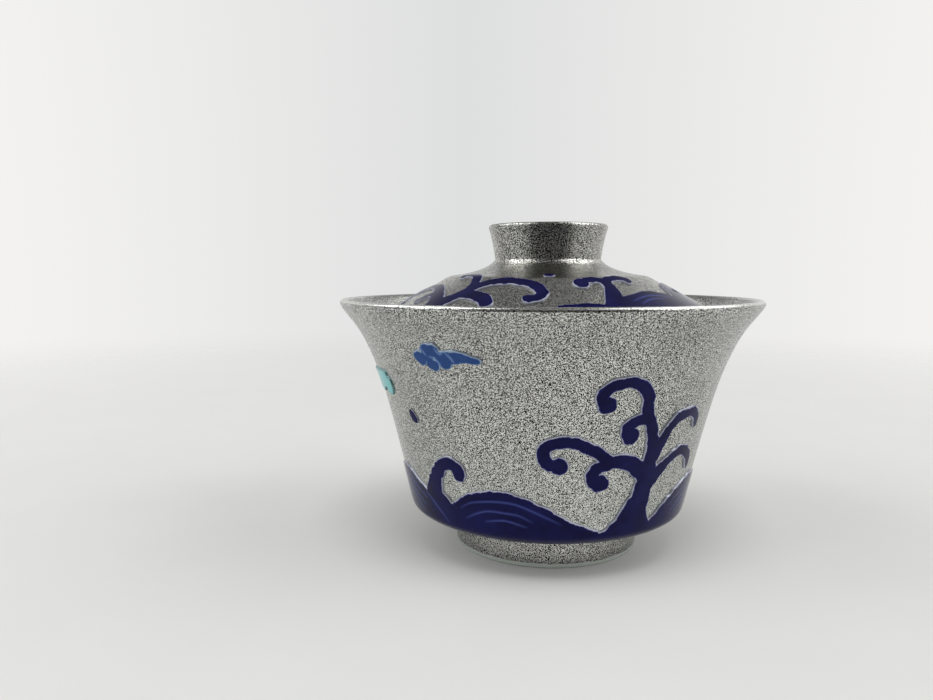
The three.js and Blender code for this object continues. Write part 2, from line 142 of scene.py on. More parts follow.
# Ornament on the lid, on its outline from the edge to the neck
LID_BARE = 4
LID_BAND = 25
LID_STROKES = [
    dict(line=[(-50, 25, 17), (-47.2, 32, 11), (-43, 40.5, 8.4), (-41, 50, 7.2), (-43, 58, 6.2),
               (-46, 63.6, 5), (-50, 66, 4.4), (-54.5, 64.4, 3.8), (-55.8, 63.4, 3.8)],
         ball=2.8),
    dict(line=[(-41, 47, 7.8), (-36.5, 53.5, 7.4), (-29, 57.8, 7), (-20, 57.4, 6.8), (-12.4, 53.6, 7),
               (-8.4, 46.8, 7.2), (-8.2, 41.4, 6.6), (-10, 37.6, 6.2), (-12.6, 37, 6.2)],
         ball=3.8),
    dict(line=[(-41, 41, 9), (-36, 40, 9), (-31.4, 37.4, 9), (-28.8, 34, 8.4), (-28, 31.6, 8.2)],
         ball=4.3),
    dict(line=[(-49, 24, 13), (-54, 36, 10), (-60, 44.5, 7.4), (-65.5, 48.6, 5.6), (-76, 47.6, 4.6),
               (-82, 42, 4.4), (-83.2, 40.4, 4.4)],
         ball=2.9),
    dict(line=[(-56, 40, 6), (-61.6, 38.8, 5), (-64.4, 34, 4.6), (-64.8, 31.6, 4.6)],
         ball=2.6),
    dict(line=[(16, 22, 13), (18.4, 32.5, 11), (20.8, 42.6, 9.4), (21.9, 51.5, 7.2), (20.5, 57.6, 5.8),
               (16, 59.6, 5.4), (11.6, 58, 5.6), (9.6, 55.6, 6.4)],
         ball=4.8),
    dict(line=[(21.5, 56, 5.5), (25, 60.2, 5), (30.5, 61.6, 4.6), (34.2, 59.8, 4.4), (35.8, 57.8, 4.4)],
         ball=3),
    dict(line=[(54, 24, 18), (56.4, 33, 14.5), (58.8, 39.5, 10.5), (61, 45, 8), (64, 49.4, 6.6),
               (69, 51, 5.8), (74, 48.6, 5.2), (75.4, 45, 5)],
         ball=3),
]
LID_SWELLS = [
    [(-4, 25), (-1.2, 28.6), (3.8, 30.4), (9, 31), (13, 29.9), (18, 28)],
    [(18, 37), (22, 38), (26, 39.2), (32, 42.8), (37.9, 44.4), (43, 43.2), (48.1, 41), (52, 37.6), (56, 34)],
]
LID_BACK = dict(start=54, end=278, count=4, valley=26, peak=44)
LID_DROP = (-5, 68.4, 3.5)

# Swells round the back: places along the top of each, and how far it laps over the next, as a share of it
SWELL_PLACES = 4
SWELL_LAP = 0.05

# Pale brush lines: their places, their width in millimetres, how many widths they reach, and how they fade
BOWL_LINES = [
    [(-57.4, 30.4), (-54.6, 28.2), (-52.3, 26.4), (-48.3, 22.9), (-45, 19.6)],
    [(-38, 26.6), (-33, 29.4), (-28, 30.6), (-22, 31.3), (-16, 30.9), (-10, 28.7), (-5, 26.4), (0, 24)],
    [(-36, 23), (-31, 25.7), (-26, 27.3), (-20, 27.3), (-15, 26.8), (-10, 24.5)],
    [(-28, 23.2), (-20, 24.4), (-12, 22.6)],
]
CLOUD_LINES = [
    [(-40.6, 86), (-39.8, 84.4), (-39.2, 83)],
    [(-38.4, 82.7), (-36.9, 82.2), (-35.7, 80.9), (-34.9, 78.6)],
    [(-35.6, 86.4), (-35, 84.6), (-34.2, 83.9), (-33.2, 85)],
    [(-33, 85), (-31.9, 83.6), (-31, 82), (-30.6, 80.8)],
]
LID_LINES = [
    [(26, 33), (31, 36.6), (37, 39), (44, 38.4), (51, 34)],
    [(29, 30), (34, 34), (39, 35.4), (45, 34)],
]
LINE_WIDTH = 0.2
LINE_REACH = 4
LINE_FADE = 0.5

# Brush lines below a swell's top: how far below, in percent of the outline, and how much narrower each gets
SWELL_LINES = (3.4, 6.6, 9.2)
SWELL_NARROWING = 0.16

# Silvering. Sizes of noise are in millimetres, and a pair of ranges turns it into a tone or a roughness.
NOISE_ROUGHNESS = 0.5
SAND_MIDDLE = 0.505
SAND_BLUR = 0.03
SOFT_SAND = 0.02
SAND_ROUGHNESS = (0.35, 0.6), (0.3, 0.18)
SAND_STRENGTH = 1
SAND_RISE = 0.035 * MM
TARNISH_SIZE = 14
TARNISH_TONE = (0.35, 0.65), (0.94, 1.03)

# The bare edge under the foot, whose upper limit wavers
BARE_WAVER_SIZE = 3
BARE_WAVER = (0, 1), (-0.25 * MM, 0.25 * MM)
BARE_BLUR = 0.1 * MM
# Its colours are darker than the pale bare body: painted shade of the contact under the foot
SHADED_BARE_COLOURS = linear(152, 159, 152), linear(174, 181, 174)

# Enamel: where its colours change, in millimetres in from the edge, and its unevenness
MARGIN_DEPTHS = (0.08, 0.24, 0.34, 0.6)
MARGIN_WAVER_SIZE = 1
MARGIN_WAVER = (0.3, 0.7), (-0.14, 0.14)
FLANK_METAL = (0.08, 0.14), (0.6, 0)
WASH_SIZE = 5
WASH_SHARE = (0.35, 0.7), (0, 0.35)
GLOSS_SIZE = 2.2
GLOSS_ROUGHNESS = (0.3, 0.7), (0.07, 0.16)
GLOSS_LEVEL = 0.1
RIPPLE_SIZE = 1.8
RIPPLE_STRENGTH = 0.25
RIPPLE_RISE = 0.05 * MM

# Table, in metres, with the distances over which it fades away
TABLE_RADIUS = 1.6
TABLE_RINGS = 24
TABLE_SEGMENTS = 96
TABLE_FADE = (0.07, 0.7)
TABLE_COLOURS = linear(219, 219, 217), linear(225, 225, 223)
TABLE_STAIN_SIZE = 40
TABLE_ROUGHNESS = 0.7
TABLE_GLOSS_LEVEL = 0.2

# Dark card, in metres. It pales to the sides and the top, over shares of its half width and its height.
CARD_HALF = 0.14
CARD_HEIGHT = 0.34
CARD_Y = -0.14
CARD_COLOURS = linear(92, 90, 88), linear(150, 149, 146)
CARD_SIDE = 0.3
CARD_LIFT_START = 0.2
CARD_LIFT_END = 0.55
CARD_LIFT_SHARE = 0.9

# Room, with the parts of a direction over which its colours change
ROOM_MIDDLE = linear(222, 223, 223)
ROOM_SIDES = linear(243, 242, 240)
ROOM_FAR_LEFT = linear(208, 208, 208)
ROOM_OVERHEAD = linear(138, 138, 138)
SIDES_RANGE = (0, 0.5)
FAR_LEFT_RANGE = (-0.68, -0.92)
OVERHEAD_RANGE = (0.34, 0.62)


# Round outlines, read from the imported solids

def side_points(node):
    """The corners (radius, height) of a round node's section in order, with the ceramic to their left."""
    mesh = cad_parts[node].data
    places = {}
    for vertex in mesh.vertices:
        x, y, z = vertex.co
        if abs(y) < TOUCH and x > -TOUCH:
            places[vertex.index] = (round(max(x, 0), 6), round(z, 6))
    links = {}
    for edge in mesh.edges:
        start, end = (places.get(index) for index in edge.vertices)
        if start and end and start != end:
            links.setdefault(start, set()).add(end)
            links.setdefault(end, set()).add(start)
    first = min(links, key=lambda place: (len(links[place]), place[1], place[0]))
    closed = len(links[first]) > 1
    walk = [first]
    while True:
        onward = [place for place in links[walk[-1]] if place not in walk]
        if not onward:
            break
        walk.append(min(onward))
    points = np.array(walk)
    r, z = points.T
    if np.sum(r * np.roll(z, -1) - np.roll(r, -1) * z) < 0:
        points = points[::-1]
    return points, closed


def is_corner(before, here, after):
    """A sharp turn, or the rim of a flat disc that reaches the axis."""
    turn = np.arctan2(*(after - here)[::-1]) - np.arctan2(*(here - before)[::-1])
    turn = abs((turn + math.pi) % (2 * math.pi) - math.pi)
    disc = any(end[0] == 0 and abs(end[1] - here[1]) < LEVEL for end in (before, after))
    return turn > CORNER_TURN or disc


def smooth_segment(p0, p1, p2, p3, steps):
    """A curve from p1 towards p2 that keeps to the bends of its neighbours, without its end point."""
    t0, t1, t2 = (max(np.linalg.norm(b - a), TINY) ** 0.5 for a, b in ((p0, p1), (p1, p2), (p2, p3)))
    leave = ((p1 - p0) / t0 - (p2 - p0) / (t0 + t1) + (p2 - p1) / t1) * t1
    arrive = ((p2 - p1) / t1 - (p3 - p1) / (t1 + t2) + (p3 - p2) / t2) * t1
    t = np.linspace(0, 1, steps, endpoint=False)[:, None]
    return ((2 * t**3 - 3 * t**2 + 1) * p1 + (t**3 - 2 * t**2 + t) * leave
            + (3 * t**2 - 2 * t**3) * p2 + (t**3 - t**2) * arrive)


def smooth_line(points, steps, closed=False, sharp=lambda before, here, after: False):
    """A smooth curve through points, with steps between each two. It may turn sharply at a sharp point."""
    count = len(points)
    last = count if closed else count - 1
    pieces = []
    for i in range(last):
        p1, p2 = points[i], points[(i + 1) % count]
        p0, p3 = points[i - 1], points[(i + 2) % count]
        if (not closed and i == 0) or sharp(p0, p1, p2):
            p0 = 2 * p1 - p2
        if (not closed and i == last - 1) or sharp(p1, p2, p3):
            p3 = 2 * p2 - p1
        pieces.append(smooth_segment(p0, p1, p2, p3, steps))
    if not closed:
        pieces.append(points[-1:])
    return np.vstack(pieces)


def add_object(name, places, faces):
    """A new smooth-shaded mesh in the scene, whose creases stay sharp."""
    mesh = bpy.data.meshes.new(name)
    mesh.from_pydata(places, [], faces)
    mesh.update()
    mesh.shade_smooth()
    mesh.set_sharp_from_angle(angle=CREASE_TURN)
    piece = bpy.data.objects.new(name, mesh)
    bpy.context.scene.collection.objects.link(piece)
    return piece


def turned(name, outline, closed):
    """A round piece: the outline turned about the axis, with one point where it meets the axis."""
    angles = np.linspace(0, 2 * math.pi, ROUND_SEGMENTS, endpoint=False)
    places = []
    rings = []
    for r, z in outline:
        start = len(places)
        if r < TINY:
            places.append((0, 0, z))
            rings.append([start] * ROUND_SEGMENTS)
        else:
            places.extend(zip(r * np.cos(angles), r * np.sin(angles), np.full(ROUND_SEGMENTS, z)))
            rings.append(list(range(start, start + ROUND_SEGMENTS)))
    faces = []
    for low, high in zip(rings, rings[1:] + rings[:1] * closed):
        for i in range(ROUND_SEGMENTS):
            j = (i + 1) % ROUND_SEGMENTS
            corners = dict.fromkeys((low[i], low[j], high[j], high[i]))
            if len(corners) > 2:
                faces.append(tuple(corners))
    return add_object(name, places, faces)


def put_in_place(piece, node, body, material):
    """Sets a piece in the place of its CAD node."""
    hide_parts(node)
    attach(piece, body)
    piece.data.materials.append(material)


def round_piece(node, body, material):
    """Replaces a round node with a finer one, and gives its corners and its smooth outline."""
    points, closed = side_points(node)
    outline = smooth_line(points, FINE_STEPS, closed, is_corner)
    piece = turned(node + "_turned", outline, closed)
    put_in_place(piece, node, body, material)
    return points, outline


# Raised enamel

def short_turn(degrees):
    """The same turn, from -180 to 180 degrees."""
    return (degrees + 180) % 360 - 180


class Sheet:
    """The stretch of an outline that carries enamel, measured along in millimetres."""

    def __init__(self, outline):
        line = outline / MM
        steps = np.hypot(*np.diff(line, axis=0).T)
        self.along = np.concatenate([[0], np.cumsum(steps)])
        self.length = self.along[-1]
        slope = np.gradient(line, self.along, axis=0)
        slope /= np.linalg.norm(slope, axis=1)[:, None]
        self.r, self.z = line.T
        self.out = np.column_stack([slope[:, 1], -slope[:, 0]])

    def radius(self, along):
        return np.interp(along, self.along, self.r)

    def degree(self, along):
        """The length of one degree round."""
        return math.radians(1) * self.radius(along)

    def place(self, degrees, along, lift):
        """Points in metres, lifted off the outline."""
        r = self.radius(along) + lift * np.interp(along, self.along, self.out[:, 0])
        z = np.interp(along, self.along, self.z) + lift * np.interp(along, self.along, self.out[:, 1])
        angle = np.radians(degrees)
        return np.column_stack([r * np.sin(angle), -r * np.cos(angle), z]) * MM

    def percent(self, value):
        """Millimetres along, from percent of the outline."""
        return value * self.length / 100


class Field:
    """How deep each point of a grid on a sheet lies inside the enamel, in millimetres."""

    def __init__(self, sheet, low, high, left=-180, right=180, spread=SPREAD):
        self.sheet = sheet
        self.spread = spread
        self.whole = right - left == 360
        self.step = 360 / ENAMEL_COLUMNS
        count = round((right - left) / self.step)
        self.degrees = left + self.step * np.arange(count + (not self.whole))
        self.along = np.arange(low, high + ENAMEL_ROW, ENAMEL_ROW)
        self.depth = np.full((len(self.along), len(self.degrees)), FAR_OUTSIDE)

    def disc(self, degrees, along, radius):
        """Adds a round spot, in millimetres along."""
        reach = radius + DISC_REACH * self.spread
        across = self.sheet.degree(along)
        rows = np.flatnonzero(np.abs(self.along - along) < reach)
        columns = np.flatnonzero(np.abs(self.degrees - degrees) * across < reach)
        if not len(rows) or not len(columns):
            return
        window = np.ix_(rows, columns)
        far = np.hypot((self.degrees[columns] - degrees) * across, (self.along[rows] - along)[:, None])
        self.depth[window] = np.maximum(self.depth[window], radius + self.spread - far)

    def ball(self, place):
        """Adds a round spot, in percent of the outline."""
        degrees, along, radius = place
        self.disc(degrees, self.sheet.percent(along), self.sheet.percent(radius))

    def stroke(self, stroke):
        """Adds a line whose width changes, with a ball at its end where it has one."""
        line = smooth_line(np.array(stroke["line"], float), CURVE_STEPS)
        for (d0, a0, w0), (d1, a1, w1) in zip(line, line[1:]):
            across = self.sheet.degree(self.sheet.percent(a0))
            length = math.hypot((d1 - d0) * across, self.sheet.percent(a1 - a0))
            for share in np.linspace(0, 1, max(1, math.ceil(length / DISC_STEP)), endpoint=False):
                degrees, along, width = (a + (b - a) * share for a, b in ((d0, d1), (a0, a1), (w0, w1)))
                self.disc(degrees, self.sheet.percent(along), self.sheet.percent(width) / 2)
        if "ball" in stroke:
            self.ball((*stroke["line"][-1][:2], stroke["ball"]))

    def draw(self, strokes, balls):
        for stroke in strokes:
            self.stroke(stroke)
        for place in balls:
            self.ball(place)

    def swell(self, tops):
        """Fills everything below a line of tops. Columns past its ends have no top and stay as they are."""
        line = smooth_line(np.array(tops, float), CURVE_STEPS)
        for turn in (-360, 0, 360):
            top = np.interp(self.degrees, line[:, 0] + turn, line[:, 1], left=np.nan, right=np.nan)
            top = self.sheet.percent(top)
            across = math.radians(self.step) * self.sheet.radius(np.nan_to_num(top))
            lean = np.hypot(1, np.gradient(top) / across)
            depth = (top + self.spread * lean - self.along[:, None]) / lean
            self.depth = np.fmax(self.depth, depth)

    def band(self, top):
        """Fills everything below one height."""
        self.depth = np.maximum(self.depth, (self.sheet.percent(top) - self.along)[:, None])

    def wobble(self):
        """A hand-drawn unevenness of the edge."""
        for i, along in enumerate(self.along):
            near = np.flatnonzero(np.abs(self.depth[i]) < WOBBLE_REACH)
            spots = self.sheet.place(self.degrees[near], np.full(len(near), along), 0) / (WOBBLE_LENGTH * MM)
            for column, spot in zip(near, spots):
                self.depth[i, column] += WOBBLE * noise.noise(spot)

    def stop_below(self, along):
        """Ends the enamel in a level edge, with a narrower pale margin."""
        self.depth = np.minimum(self.depth, ((self.along - along) * LEVEL_STEEPNESS)[:, None])


def split(polygon, level):
    """Cuts a polygon of (key, depth) corners at one depth into the part above it and the part below it."""
    above, below = [], []
    for (key, depth), (next_key, next_depth) in zip(polygon, polygon[1:] + polygon[:1]):
        if depth >= level:
            above.append((key, depth))
        if depth <= level:
            below.append((key, depth))
        if (depth - level) * (next_depth - level) < 0:
            ends = key[:2] if len(key) > 1 else next_key[:2] if len(next_key) > 1 else key + next_key
            cut = ((*sorted(ends), level), level)
            above.append(cut)
            below.append(cut)
    return above, below


def cut_cells(field):
    """The grid's cells inside the enamel, cut at the edge levels, each as the keys of its corners.

    A key is (corner,) at a corner of the grid, or (corner, corner, level) at a cut between two of them.
    """
    rows, columns = field.depth.shape
    depth = field.depth.ravel()
    for i in range(rows - 1):
        near = field.depth[i:i + 2].max(0)
        for j in range(columns if field.whole else columns - 1):
            k = (j + 1) % columns
            if max(near[j], near[k]) <= 0:
                continue
            cell = (i * columns + j, i * columns + k, (i + 1) * columns + k, (i + 1) * columns + j)
            if min(depth[corner] for corner in cell) >= EDGE_LEVELS[-1]:
                yield [(corner,) for corner in cell]
                continue
            for triangle in ((cell[0], cell[1], cell[2]), (cell[0], cell[2], cell[3])):
                left = [((corner,), depth[corner]) for corner in triangle]
                left = split(left, EDGE_LEVELS[0])[0]
                for level in EDGE_LEVELS[1:]:
                    left, done = split(left, level)
                    yield [key for key, _ in done]
                yield [key for key, _ in left]


def relief(name, field):
    """A closed skin over a field, rounded up from its edge to an even height, with its back in the wall."""
    rows, columns = field.depth.shape
    depth = field.depth.ravel()
    corner_degrees = np.tile(field.degrees, rows)
    corner_along = np.repeat(field.along, columns)
    keys = {}
    faces = []
    for polygon in cut_cells(field):
        if len(polygon) > 2:
            faces.append([keys.setdefault(key, len(keys)) for key in polygon])
    degrees, along, deep = (np.zeros(len(keys)) for _ in range(3))
    for key, index in keys.items():
        if len(key) == 1:
            degrees[index], along[index], deep[index] = corner_degrees[key], corner_along[key], depth[key]
            continue
        a, b, level = key
        share = (level - depth[a]) / (depth[b] - depth[a])
        degrees[index] = corner_degrees[a] + short_turn(corner_degrees[b] - corner_degrees[a]) * share
        along[index] = corner_along[a] + (corner_along[b] - corner_along[a]) * share
        deep[index] = level
    rise = np.sqrt(1 - (1 - np.clip(deep / EDGE_ROUND, 0, 1)) ** 2)
    front = field.sheet.place(degrees, along, (ENAMEL_HEIGHT + SEAT_DEPTH) * rise - SEAT_DEPTH)
    back = field.sheet.place(degrees, along, np.full(len(deep), -SEAT_DEPTH))
    back_index = np.arange(len(deep))
    inner = np.flatnonzero(deep > 0)
    back_index[inner] = len(deep) + np.arange(len(inner))
    places = np.vstack([front, back[inner]])
    faces = [face for face in faces if max(deep[face]) > 0]
    backs = [[int(back_index[corner]) for corner in reversed(face)] for face in faces]
    piece = add_object(name, places.tolist(), faces + backs)
    attribute = piece.data.attributes.new("edge", "FLOAT", "POINT")
    margin = np.minimum(deep * SPREAD / field.spread, DEEPEST)
    attribute.data.foreach_set("value", np.concatenate([margin, np.zeros(len(inner))]))
    return piece, degrees, along


def brush_lines(piece, sheet, degrees, along, lines):
    """Marks pale lines that a brush left in the enamel."""
    mark = np.zeros(len(piece.data.vertices))
    front = mark[:len(degrees)]
    for line in lines:
        curve = smooth_line(np.array(line, float), CURVE_STEPS)
        for share, (d, a) in zip(np.linspace(0, 1, len(curve)), curve):
            across = sheet.degree(sheet.percent(a))
            turn = short_turn(degrees - d)
            near = np.flatnonzero(np.abs(turn) * across < LINE_REACH * LINE_WIDTH)
            far = np.hypot(turn[near] * across, along[near] - sheet.percent(a))
            fade = math.sin(math.pi * share) ** LINE_FADE if 0 < share < 1 else 0
            front[near] = np.maximum(front[near], fade * np.exp(-(far / LINE_WIDTH) ** 2))
    attribute = piece.data.attributes.new("brush", "FLOAT", "POINT")
    attribute.data.foreach_set("value", mark)


def plain_swells(back):
    """The tops of equal swells, side by side, round the back."""
    width = (back["end"] - back["start"]) / back["count"]
    rise = back["peak"] - back["valley"]
    for i in range(back["count"]):
        tops = []
        for share in np.linspace(0, 1, SWELL_PLACES + 1):
            degrees = back["start"] + width * (i - SWELL_LAP + (1 + 2 * SWELL_LAP) * share)
            tops.append((degrees, back["valley"] + rise * math.sin(math.pi * share)))
        yield tops


def swell_lines(tops):
    """Brush lines that follow the middle of a swell's top, one below the other."""
    inner = np.array(tops[1:-1], float)
    middle = inner[:, 0].mean()
    for i, drop in enumerate(SWELL_LINES):
        line = inner.copy()
        line[:, 0] = middle + (line[:, 0] - middle) * (1 - SWELL_NARROWING * i)
        line[:, 1] -= drop
        yield line


def wave_field(sheet, bare, band, strokes, swells, back, bumps=(), spread=SPREAD):
    """A field of waves all the way round, above a bare edge."""
    highest = max(along + width for stroke in strokes for _, along, width in stroke["line"])
    field = Field(sheet, bare - ENAMEL_ROW, sheet.percent(highest) + FIELD_ROOM, spread=spread)
    field.band(band)
    for tops in [*swells, *plain_swells(back)]:
        field.swell(tops)
    field.draw(strokes, bumps)
    field.wobble()
    field.stop_below(bare)
    return field


def spot_field(sheet, balls=(), strokes=(), spread=SPREAD):
    """A field round a few balls and strokes."""
    places = [*balls, *(place for stroke in strokes for place in stroke["line"])]
    turns, heights, sizes = np.array(places).T
    room = sheet.percent(max(sizes)) + FIELD_ROOM
    low, high = sheet.percent(min(heights)) - room, sheet.percent(max(heights)) + room
    wide = math.degrees(room / sheet.radius(low))
    field = Field(sheet, low, high, min(turns) - wide, max(turns) + wide, spread)
    field.draw(strokes, balls)
    field.wobble()
    return field


def enamel_piece(node, field, body, material, lines=()):
    """Replaces an enamel node with a rounded relief."""
    piece, degrees, along = relief(node + "_relief", field)
    brush_lines(piece, field.sheet, degrees, along, lines)
    put_in_place(piece, node, body, material)


# Materials

def plug(tree, node, inputs):
    """Links or sets inputs of a node."""
    for socket, value in inputs.items():
        if isinstance(value, bpy.types.NodeSocket):
            tree.links.new(value, node.inputs[socket])
        else:
            node.inputs[socket].default_value = value


def add_node(tree, kind, inputs=None, **settings):
    """A new node. Its settings come first, because they choose its sockets."""
    node = tree.nodes.new(kind)
    for key, value in settings.items():
        setattr(node, key, value)
    plug(tree, node, inputs or {})
    return node


def new_material(name):
    material = bpy.data.materials.new(name)
    material.use_nodes = True
    tree = material.node_tree
    shader = tree.nodes["Principled BSDF"]
    place = add_node(tree, "ShaderNodeTexCoord").outputs["Object"]
    return material, tree, shader, place


def ramp(tree, value, stops):
    """Colours by place from 0 to 1."""
    node = add_node(tree, "ShaderNodeValToRGB", {"Fac": value})
    elements = node.color_ramp.elements
    while len(elements) < len(stops):
        elements.new(1)
    for element, (position, colour) in zip(elements, stops):
        element.position = position
        element.color = colour
    return node.outputs["Color"]


def span(tree, value, source, target=(0, 1)):
    """A value moved from one range to another, and held at its ends."""
    inputs = {"Value": value, "From Min": source[0], "From Max": source[1],
              "To Min": target[0], "To Max": target[1]}
    return add_node(tree, "ShaderNodeMapRange", inputs).outputs["Result"]


def mixed(tree, factor, first, second):
    """Two colours mixed, through the node's sockets for colours."""
    node = add_node(tree, "ShaderNodeMix", {0: factor, 6: first, 7: second}, data_type="RGBA")
    return node.outputs[2]


def reckoned(tree, operation, *values):
    """The result of a sum on single values."""
    return add_node(tree, "ShaderNodeMath", dict(enumerate(values)), operation=operation).outputs[0]


def axis_parts(tree, vector):
    return add_node(tree, "ShaderNodeSeparateXYZ", {"Vector": vector}).outputs


def grain(tree, place, size, detail):
    """Noise whose features are about size millimetres across."""
    inputs = {"Vector": place, "Scale": 1 / (size * MM), "Detail": detail, "Roughness": NOISE_ROUGHNESS}
    return add_node(tree, "ShaderNodeTexNoise", inputs).outputs["Fac"]


def bumped(tree, height, strength, distance):
    inputs = {"Strength": strength, "Distance": distance, "Height": height}
    return add_node(tree, "ShaderNodeBump", inputs).outputs["Normal"]


def silver_material(name, bright, dark, size, middle=SAND_MIDDLE, bare_height=0, softness=()):
    """Silvering with a fine sandy grain over a bare edge. The grain's softness goes by height, in metres,
    and softened grain is also paler.
    """
    material, tree, shader, place = new_material(name)
    height = axis_parts(tree, place)["Z"]
    sand = grain(tree, place, size, detail=0)
    if softness:
        top = softness[-1][0]
        stops = [(z / top, (share, share, share, 1)) for z, share in softness]
        soft = ramp(tree, span(tree, height, (0, top)), stops)
        # Softened grain is held near its bright tone, so it lightens the colour as well as smoothing it
        sand = add_node(tree, "ShaderNodeMix", {0: soft, 2: sand, 3: middle + SOFT_SAND}).outputs[0]
    tarnish = grain(tree, place, TARNISH_SIZE, detail=2)
    colour = ramp(tree, sand, [(middle - SAND_BLUR, dark), (middle + SAND_BLUR, bright)])
    tone = span(tree, tarnish, *TARNISH_TONE)
    colour = add_node(tree, "ShaderNodeVectorMath", {0: colour, 1: tone}, operation="MULTIPLY").outputs[0]
    rough = span(tree, sand, *SAND_ROUGHNESS)
    normal = bumped(tree, sand, SAND_STRENGTH, SAND_RISE)
    metal = 1
    if bare_height:
        waver = span(tree, grain(tree, place, BARE_WAVER_SIZE, detail=2), *BARE_WAVER)
        height = reckoned(tree, "ADD", height, waver)
        metal = span(tree, height, (bare_height - BARE_BLUR, bare_height + BARE_BLUR))
        colour = mixed(tree, metal, mixed(tree, tarnish, *SHADED_BARE_COLOURS), colour)
    plug(tree, shader, {"Base Color": colour, "Metallic": metal, "Roughness": rough, "Normal": normal})
    return material


def enamel_material(name, deep, middle, margin, line):
    """Glossy enamel, deep in the middle and pale along its edge, with brush lines."""
    material, tree, shader, place = new_material(name)
    edge = add_node(tree, "ShaderNodeAttribute", attribute_name="edge").outputs["Fac"]
    brush = add_node(tree, "ShaderNodeAttribute", attribute_name="brush").outputs["Fac"]
    waver = span(tree, grain(tree, place, MARGIN_WAVER_SIZE, detail=2), *MARGIN_WAVER)
    share = span(tree, reckoned(tree, "ADD", edge, waver), (0, 1))
    colour = ramp(tree, share, list(zip(MARGIN_DEPTHS, (margin, margin, middle, deep))))
    wash = span(tree, grain(tree, place, WASH_SIZE, detail=3), *WASH_SHARE)
    washed = mixed(tree, share, colour, mixed(tree, wash, colour, middle))
    plug(tree, shader, {
        "Base Color": mixed(tree, brush, washed, line),
        "Metallic": span(tree, edge, *FLANK_METAL),
        "Roughness": span(tree, grain(tree, place, GLOSS_SIZE, detail=2), *GLOSS_ROUGHNESS),
        "Normal": bumped(tree, grain(tree, place, RIPPLE_SIZE, detail=2), RIPPLE_STRENGTH, RIPPLE_RISE),
        "Specular IOR Level": GLOSS_LEVEL,
    })
    return material


# Looks of the pieces. A grain's softness is a share at each height, up to the top one.

RIM_HEIGHT = max(vertex.co.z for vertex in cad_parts["bowl_body"].data.vertices)
# On the bowl's lower wall the softer grain's paler tone is painted reflection of the bright table; at the
# lip it is the polished edge
BOWL_SOFTNESS_AND_SHEEN = [(8 * MM, 0.6), (18 * MM, 0.54), (38 * MM, 0.12), (RIM_HEIGHT - 0.55 * MM, 0.05),
                 (RIM_HEIGHT - 0.35 * MM, 0.85)]
FOOT_SOFTNESS = [(0, 0.4), (7 * MM, 0.15)]
BOWL_SILVER = silver_material("bowl_silver", bright=linear(234, 236, 231), dark=linear(16, 15, 14),
                              size=0.165, middle=0.517, softness=BOWL_SOFTNESS_AND_SHEEN)
LID_SILVER = silver_material("lid_silver", bright=linear(230, 230, 224), dark=linear(14, 13, 12),
                             size=0.185)
# The foot's silver is a darker copy of the bowl's: painted shade for the foot, which stands under the bowl's
# overhang and mirrors the shaded table
SHADED_FOOT_SILVER = silver_material("foot_silver_shaded", bright=linear(218, 218, 212), dark=linear(20, 19, 17),
                              size=0.165, bare_height=1.2 * MM, softness=FOOT_SOFTNESS)
# The knob's silver is a darker copy of the lid's: painted shade standing in for the dark room it mirrors
SHADED_KNOB_SILVER = silver_material("knob_silver_shaded", bright=linear(214, 214, 209), dark=linear(12, 11, 10),
                              size=0.185)
COBALT = enamel_material("cobalt", deep=linear(8, 8, 50), middle=linear(26, 28, 92),
                         margin=linear(150, 153, 164), line=linear(58, 68, 130))
STEEL_BLUE = enamel_material("steel_blue", deep=linear(38, 64, 116), middle=linear(52, 86, 138),
                             margin=linear(140, 154, 168), line=linear(104, 132, 176))
TURQUOISE = enamel_material("turquoise", deep=linear(99, 177, 180), middle=linear(121, 192, 193),
                            margin=linear(104, 138, 140), line=linear(200, 226, 224))


# The object

def bowl():
    """The bowl and its foot, with enamel on the wall from the foot's joint to just under the lip."""
    points, outline = round_piece("bowl_body", "bowl", BOWL_SILVER)
    round_piece("foot_ring", "bowl", SHADED_FOOT_SILVER)
    joint = 1
    lip = int(np.argmax(points[:, 0])) - 1
    sheet = Sheet(outline[joint * FINE_STEPS:lip * FINE_STEPS + 1])
    waves = wave_field(sheet, BOWL_BARE, BOWL_BAND, BOWL_STROKES, BOWL_SWELLS, BOWL_BACK, BOWL_BUMPS)
    lines = [*BOWL_LINES]
    far_left, _, far_right, _ = BOWL_SWELLS
    for tops in (far_left, far_right, *plain_swells(BOWL_BACK)):
        lines.extend(swell_lines(tops))
    enamel_piece("bowl_wave_enamel", waves, "bowl", COBALT, lines)
    drop = spot_field(sheet, strokes=[BOWL_DROP], spread=DROP_SPREAD)
    enamel_piece("bowl_spray_drop", drop, "bowl", COBALT)
    cloud = spot_field(sheet, CLOUD_BALLS, [CLOUD_TAIL])
    enamel_piece("bowl_cloud_blue", cloud, "bowl", STEEL_BLUE, CLOUD_LINES)
    left_cloud = spot_field(sheet, LEFT_CLOUD_BALLS)
    enamel_piece("bowl_cloud_turquoise", left_cloud, "bowl", TURQUOISE)


def lid():
    """The lid and its knob, with enamel on the dome from its edge to its neck."""
    points, outline = round_piece("lid_dome", "lid", LID_SILVER)
    round_piece("lid_knob", "lid", SHADED_KNOB_SILVER)
    edge = int(np.argmax(points[:, 0])) + 1
    neck = len(points) - 2
    sheet = Sheet(outline[edge * FINE_STEPS:neck * FINE_STEPS + 1])
    waves = wave_field(sheet, LID_BARE, LID_BAND, LID_STROKES, LID_SWELLS, LID_BACK, spread=LID_SPREAD)
    lines = [*LID_LINES]
    for tops in plain_swells(LID_BACK):
        lines.extend(swell_lines(tops))
    enamel_piece("lid_wave_enamel", waves, "lid", COBALT, lines)
    drop = spot_field(sheet, [LID_DROP], spread=DROP_SPREAD)
    enamel_piece("lid_spray_drop", drop, "lid", COBALT)


# Table, lights and camera

